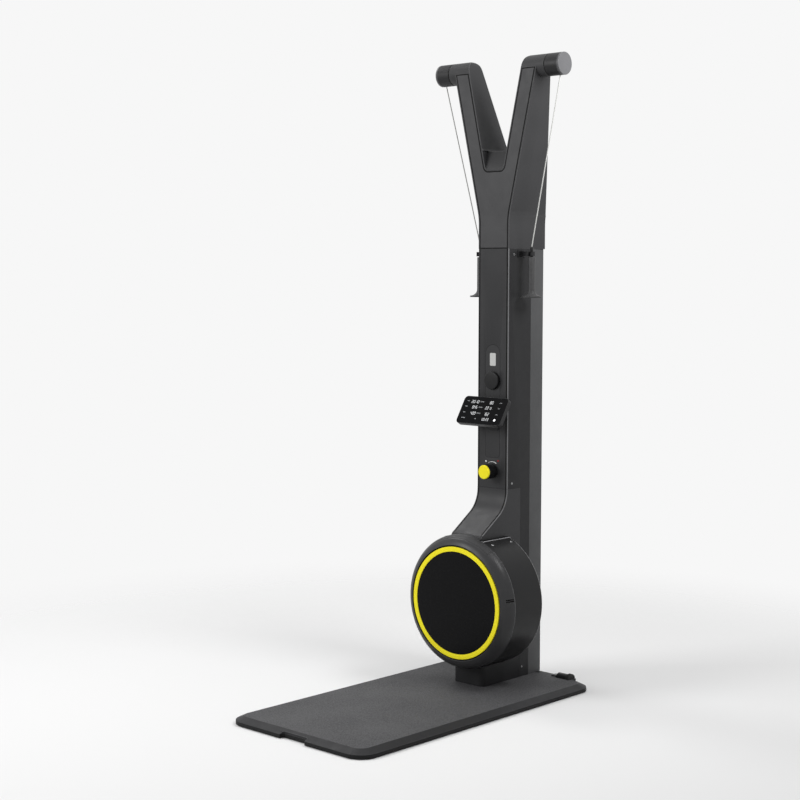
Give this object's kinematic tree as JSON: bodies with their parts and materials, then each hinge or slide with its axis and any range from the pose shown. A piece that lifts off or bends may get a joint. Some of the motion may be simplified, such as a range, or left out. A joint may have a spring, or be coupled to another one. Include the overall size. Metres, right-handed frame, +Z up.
{
  "type": "ski trainer machine",
  "caption": "Standing ski trainer with a low platform, a column with a forked head, two pull cords with handles, a round flywheel drum and a tilted display.",
  "frame": {"origin": "on the floor, in the middle of the bounding box", "axes": "+Z up, the user stands on the -Y side and faces +Y, +X to the user's right"},
  "size_m": [0.6, 1.147, 2.1615],
  "materials": {
    "tray_black": "matt, fine grain",
    "foot_rubber": "matt",
    "deck_grey": "satin",
    "mat_rubber": "fine textured rubber",
    "bracket_black": "satin",
    "wheel_tyre": "satin",
    "frame_steel": "powder coated",
    "column_grey": "satin, fine grain",
    "rear_grey": "satin, fine grain",
    "panel_grey": "satin, fine grain",
    "foot_black": "matt",
    "ring_grey": "satin",
    "disc_black": "satin gloss",
    "accent_yellow": "satin",
    "swivel_grey": "satin",
    "cap_grey": "satin",
    "cord_grey": "braided",
    "pulley_white": "satin",
    "neck_black": "satin",
    "grip_rubber": "satin",
    "bright_steel": "machined",
    "fan_metal": "cast and turned",
    "spool_plastic": "satin",
    "can_metal": "satin",
    "display_black": "satin",
    "display_window": "gloss",
    "cable_black": "satin"
  },
  "bodies": {
    "machine": {"base_tray": "tray_black", "rubber_feet": "foot_rubber", "deck_cover": "deck_grey", "deck_mat": "mat_rubber", "wheel_brackets": "bracket_black", "mast_foot": "frame_steel", "mast_tube": "frame_steel", "arm_frame": "frame_steel", "drive_frame": "frame_steel", "foot_cover": "foot_black", "left_side_cover": "column_grey", "right_side_cover": "column_grey", "column_front_panel": "panel_grey", "control_strip": "panel_grey", "rear_cover": "rear_grey", "neck_cover": "column_grey", "head_shell": "column_grey", "head_front_panel": "panel_grey", "handle_hooks": "bracket_black", "inner_cords": "cord_grey", "drum_housing": "foot_black", "ring_housing": "ring_grey", "front_disc": "disc_black", "yellow_ring": "accent_yellow", "shaft_bearings": "bright_steel", "spring_cans": "can_metal", "display_bracket": "bracket_black", "reader_disc": "disc_black", "brake_cable": "cable_black", "cover_screws": "bright_steel"},
    "flywheel": {"flywheel_shaft": "bright_steel", "fan_wheel": "fan_metal"},
    "knob": {"knob_body": "disc_black", "knob_cap": "accent_yellow"},
    "brake": {"magnet_arm": "can_metal"},
    "display": {"display_housing": "display_black", "display_glass": "display_window"},
    "right_wheel": {"right_wheel": "wheel_tyre"},
    "right_swivel": {"right_swivel_housing": "swivel_grey", "right_end_cap": "cap_grey", "right_guide_cord": "cord_grey", "right_cord": "cord_grey"},
    "right_handle": {"right_neck": "neck_black", "right_grip": "grip_rubber"},
    "right_spool": {"right_spool": "spool_plastic"},
    "right_swivel_pulley": {"right_swivel_pulley": "pulley_white"},
    "right_arm_pulley": {"right_arm_pulley": "pulley_white"},
    "right_guide_roller": {"right_guide_roller": "pulley_white"},
    "left_wheel": {"left_wheel": "wheel_tyre"},
    "left_swivel": {"left_swivel_housing": "swivel_grey", "left_end_cap": "cap_grey", "left_guide_cord": "cord_grey", "left_cord": "cord_grey"},
    "left_handle": {"left_neck": "neck_black", "left_grip": "grip_rubber"},
    "left_spool": {"left_spool": "spool_plastic"},
    "left_swivel_pulley": {"left_swivel_pulley": "pulley_white"},
    "left_arm_pulley": {"left_arm_pulley": "pulley_white"},
    "left_guide_roller": {"left_guide_roller": "pulley_white"}
  },
  "joints": [
    {"name": "flywheel_spin", "type": "hinge", "parent": "machine", "child": "flywheel", "pos_m": [0, 0.3, 0.319], "axis": [0, 1, 0], "continuous": true},
    {"name": "knob_turn", "type": "hinge", "parent": "machine", "child": "knob", "pos_m": [0, 0.35, 0.753], "axis": [0, 1, 0], "range_deg": [0, 76]},
    {"name": "brake_swing", "type": "hinge", "parent": "machine", "child": "brake", "pos_m": [0.1035, 0.303, 0.49827], "axis": [0, 1, 0], "range_deg": [0, 6]},
    {"name": "display_tilt", "type": "hinge", "parent": "machine", "child": "display", "pos_m": [0, 0.33787, 0.94448], "axis": [1, 0, 0], "range_deg": [-10, 25]},
    {"name": "right_wheel_roll", "type": "hinge", "parent": "machine", "child": "right_wheel", "pos_m": [0.2095, 0.552, 0.0225], "axis": [1, 0, 0], "continuous": true},
    {"name": "right_swing", "type": "hinge", "parent": "machine", "child": "right_swivel", "pos_m": [0.24, 0.411, 2.124], "axis": [-1, 0, 0], "range_deg": [0, 75]},
    {"name": "right_pull", "type": "slide", "parent": "right_swivel", "child": "right_handle", "axis": [0, 0, -1], "range_m": [0, 0.7], "stiffness_N_per_m": 30, "springref_m": -0.6, "deforming": ["right_cord"]},
    {"name": "right_spool_spin", "type": "hinge", "parent": "machine", "child": "right_spool", "pos_m": [0, 0.4, 0.319], "axis": [0, 1, 0], "continuous": true},
    {"name": "right_swivel_pulley_spin", "type": "hinge", "parent": "right_swivel", "child": "right_swivel_pulley", "pos_m": [0.237, 0.411, 2.11], "axis": [0, 1, 0], "continuous": true},
    {"name": "right_arm_pulley_spin", "type": "hinge", "parent": "machine", "child": "right_arm_pulley", "pos_m": [0.1585, 0.411, 2.11], "axis": [0, 1, 0], "continuous": true},
    {"name": "right_guide_roller_spin", "type": "hinge", "parent": "machine", "child": "right_guide_roller", "pos_m": [0.05, 0.411, 1.645], "axis": [0, 1, 0], "continuous": true},
    {"name": "left_wheel_roll", "type": "hinge", "parent": "machine", "child": "left_wheel", "pos_m": [-0.2095, 0.552, 0.0225], "axis": [1, 0, 0], "continuous": true},
    {"name": "left_swing", "type": "hinge", "parent": "machine", "child": "left_swivel", "pos_m": [-0.24, 0.411, 2.124], "axis": [-1, 0, 0], "range_deg": [0, 75]},
    {"name": "left_pull", "type": "slide", "parent": "left_swivel", "child": "left_handle", "axis": [0, 0, -1], "range_m": [0, 0.7], "stiffness_N_per_m": 30, "springref_m": -0.6, "deforming": ["left_cord"]},
    {"name": "left_spool_spin", "type": "hinge", "parent": "machine", "child": "left_spool", "pos_m": [0, 0.4, 0.319], "axis": [0, 1, 0], "continuous": true},
    {"name": "left_swivel_pulley_spin", "type": "hinge", "parent": "left_swivel", "child": "left_swivel_pulley", "pos_m": [-0.237, 0.411, 2.11], "axis": [0, 1, 0], "continuous": true},
    {"name": "left_arm_pulley_spin", "type": "hinge", "parent": "machine", "child": "left_arm_pulley", "pos_m": [-0.1585, 0.411, 2.11], "axis": [0, 1, 0], "continuous": true},
    {"name": "left_guide_roller_spin", "type": "hinge", "parent": "machine", "child": "left_guide_roller", "pos_m": [-0.05, 0.411, 1.645], "axis": [0, 1, 0], "continuous": true}
  ],
  "couplings": [
    {"joint": "brake_swing", "follows": "knob_turn", "ratio": 0.07},
    {"joint": "right_spool_spin", "follows": "right_pull", "rad_per_m": -25},
    {"joint": "right_swivel_pulley_spin", "follows": "right_pull", "rad_per_m": 71.429},
    {"joint": "right_arm_pulley_spin", "follows": "right_pull", "rad_per_m": 71.429},
    {"joint": "right_guide_roller_spin", "follows": "right_pull", "rad_per_m": 100},
    {"joint": "left_spool_spin", "follows": "left_pull", "rad_per_m": 25},
    {"joint": "left_swivel_pulley_spin", "follows": "left_pull", "rad_per_m": -71.429},
    {"joint": "left_arm_pulley_spin", "follows": "left_pull", "rad_per_m": -71.429},
    {"joint": "left_guide_roller_spin", "follows": "left_pull", "rad_per_m": -100}
  ]
}
